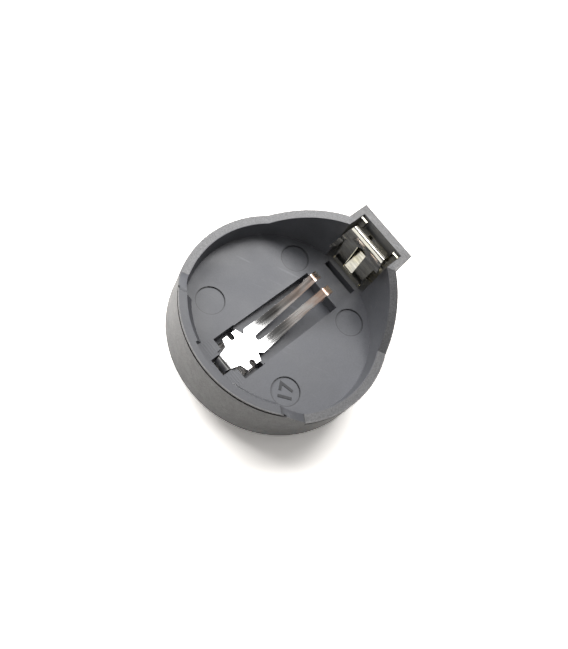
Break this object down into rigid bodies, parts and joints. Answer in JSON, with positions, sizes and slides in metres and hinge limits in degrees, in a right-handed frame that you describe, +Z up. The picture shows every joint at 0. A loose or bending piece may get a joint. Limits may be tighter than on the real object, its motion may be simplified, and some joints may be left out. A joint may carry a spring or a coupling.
{
  "type": "coin cell holder",
  "caption": "Round through-hole holder for a 20 mm coin cell, with a moulded pocket, a sprung side clip and a forked floor spring whose tails solder into a board.",
  "frame": {"origin": "on the board plane, under the middle of the cell pocket, at the face of the centre foot", "axes": "+Z up out of the board along the cell's axis, +X towards the box that holds the positive clip"},
  "size_m": [0.0249, 0.023, 0.0132],
  "materials": {
    "housing_plastic": "fine moulded satin",
    "contact_metal": "bright nickel plate"
  },
  "bodies": {
    "root": {"housing": "housing_plastic", "positive_contact": "contact_metal", "negative_contact": "contact_metal"}
  },
  "joints": []
}
